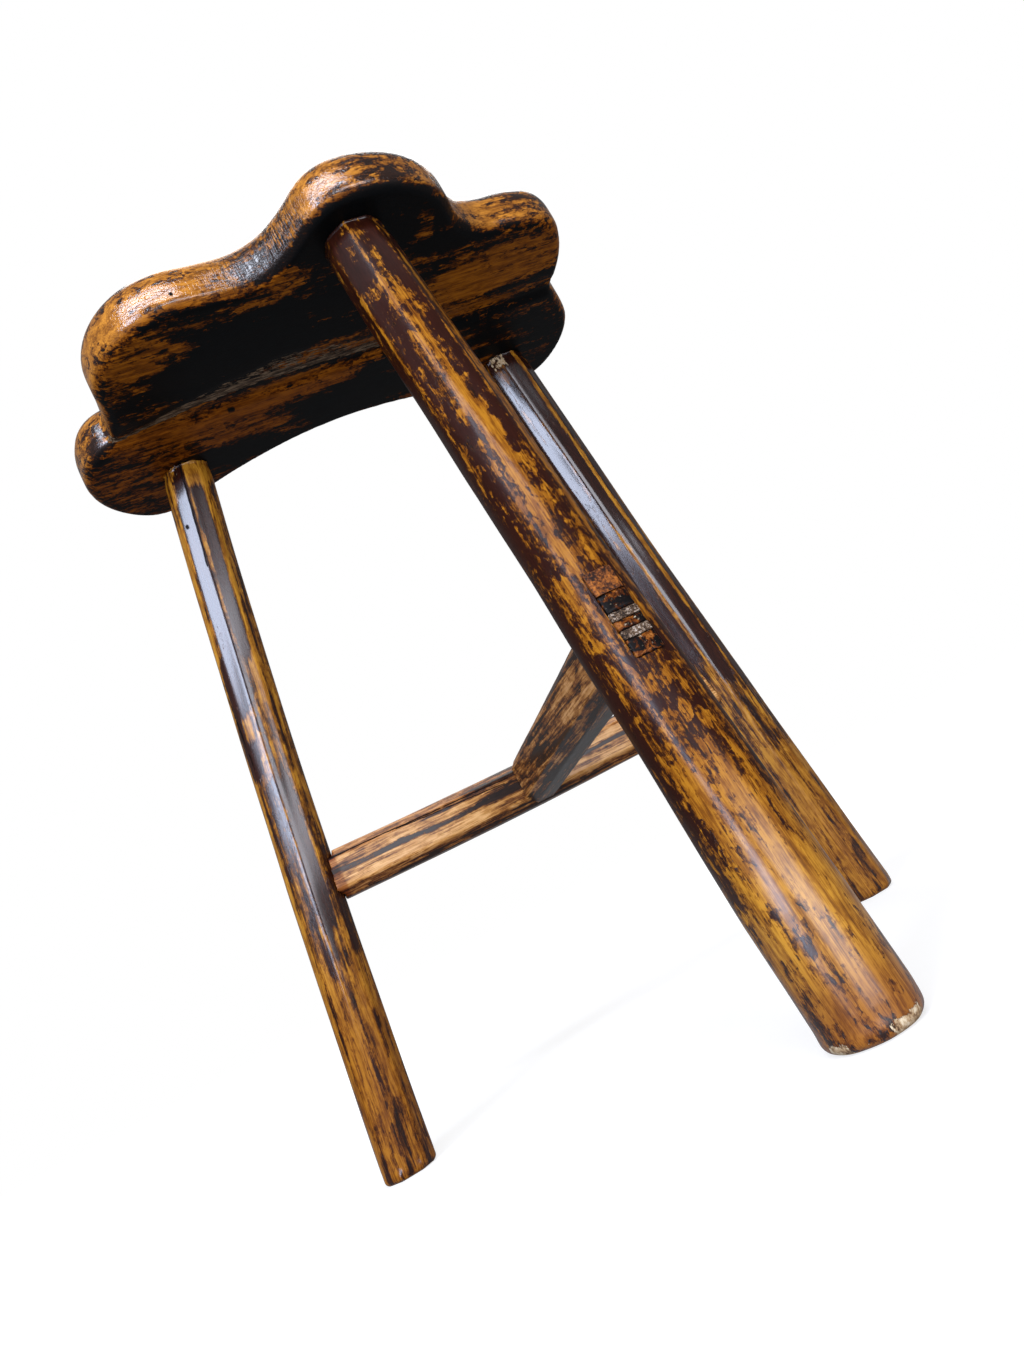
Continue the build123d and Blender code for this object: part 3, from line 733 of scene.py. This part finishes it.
floor_mesh = bpy.data.meshes.new("floor")
reach = 30.0
corners = [(-reach, -reach, 0), (reach, -reach, 0), (reach, reach, 0), (-reach, reach, 0)]
floor_mesh.from_pydata(corners, [], [(0, 1, 2, 3)])
floor = bpy.data.objects.new("floor", floor_mesh)
bpy.context.scene.collection.objects.link(floor)
floor_mesh.materials.append(pale_ground("pale_matt_floor", "#A3A19F", lift=0.74))
floor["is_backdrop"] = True

world = bpy.data.worlds.new("pale_room")
bpy.context.scene.world = world
world.use_nodes = True
tree = world.node_tree
tree.nodes.clear()
seen = white_share(tree)
dim = add_node(tree, "ShaderNodeBackground", {"Color": linear("#DCE2EA"), "Strength": 0.15}).outputs[0]
white = add_node(tree, "ShaderNodeBackground", {"Color": (1, 1, 1, 1), "Strength": 1.0}).outputs[0]
both = add_node(tree, "ShaderNodeMixShader", {}, {0: seen, 1: dim, 2: white}).outputs[0]
add_node(tree, "ShaderNodeOutputWorld", {}, {"Surface": both})


# Lamps: a tall cool window at the left and a wide one above it, which the flats and the rim mirror, a low
# pale wall in front for the sheen on the foot, and a soft one high behind.
def window(name, turn, rise, distance, wide, high, power, colour):
    """A soft lamp seen from the stool in a direction: turned from the front to the right, and raised."""
    middle_of_stool = Vector((0, 0, 0.25))
    data = bpy.data.lights.new(name, "AREA")
    data.shape = "RECTANGLE"
    data.size = wide
    data.size_y = high
    data.energy = power
    data.color = linear(colour)[:3]
    lamp = bpy.data.objects.new(name, data)
    t, r = math.radians(turn), math.radians(rise)
    way = Vector((math.sin(t) * math.cos(r), -math.cos(t) * math.cos(r), math.sin(r)))
    lamp.location = middle_of_stool + way * distance
    lamp.rotation_euler = (-way).to_track_quat("-Z", "Y").to_euler()
    bpy.context.scene.collection.objects.link(lamp)


window("tall_window", -45, 15, 2.0, 0.50, 1.0, 32, "#D4E0FA")
window("wide_window", -24, 43, 2.0, 1.8, 0.30, 32, "#E4EDFF")
window("pale_wall", 5, 6, 2.2, 1.7, 0.6, 28, "#F2F4FF")
window("overhead", 150, 62, 2.0, 1.2, 1.2, 16, "#FFFFFF")


# Camera: low in front of the stool and to the left, looking up at the seat, and rolled so that the stool
# leans in the picture. Its place, its turns and its focal length come from a fit to the outline.
eye = (-0.177, -0.50187, 0.10367)
focal_pixels = 963.28
picture_height = 1365
yaw, pitch, roll = 0.2989, 0.2112, -0.4938
forward = Vector((math.sin(yaw) * math.cos(pitch), math.cos(yaw) * math.cos(pitch), math.sin(pitch)))
level_right = forward.cross(Vector((0, 0, 1))).normalized()
level_up = level_right.cross(forward)
right = level_right * math.cos(roll) + level_up * math.sin(roll)
up = level_up * math.cos(roll) - level_right * math.sin(roll)
camera_data = bpy.data.cameras.new("camera")
camera_data.sensor_width = 36.0
camera_data.lens = focal_pixels / picture_height * camera_data.sensor_width
camera_data.clip_start = 0.01
camera = bpy.data.objects.new("camera", camera_data)
bpy.context.scene.collection.objects.link(camera)
axes = Matrix((right, up, -forward)).transposed().to_4x4()
camera.matrix_world = Matrix.Translation(eye) @ axes
bpy.context.scene.camera = camera
bpy.context.scene.view_settings.view_transform = "Standard"


def plain(bounds):
    return [[float(v) for v in corner] for corner in bounds]


{"cad": plain(cad_bounds), "visual": plain(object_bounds())}
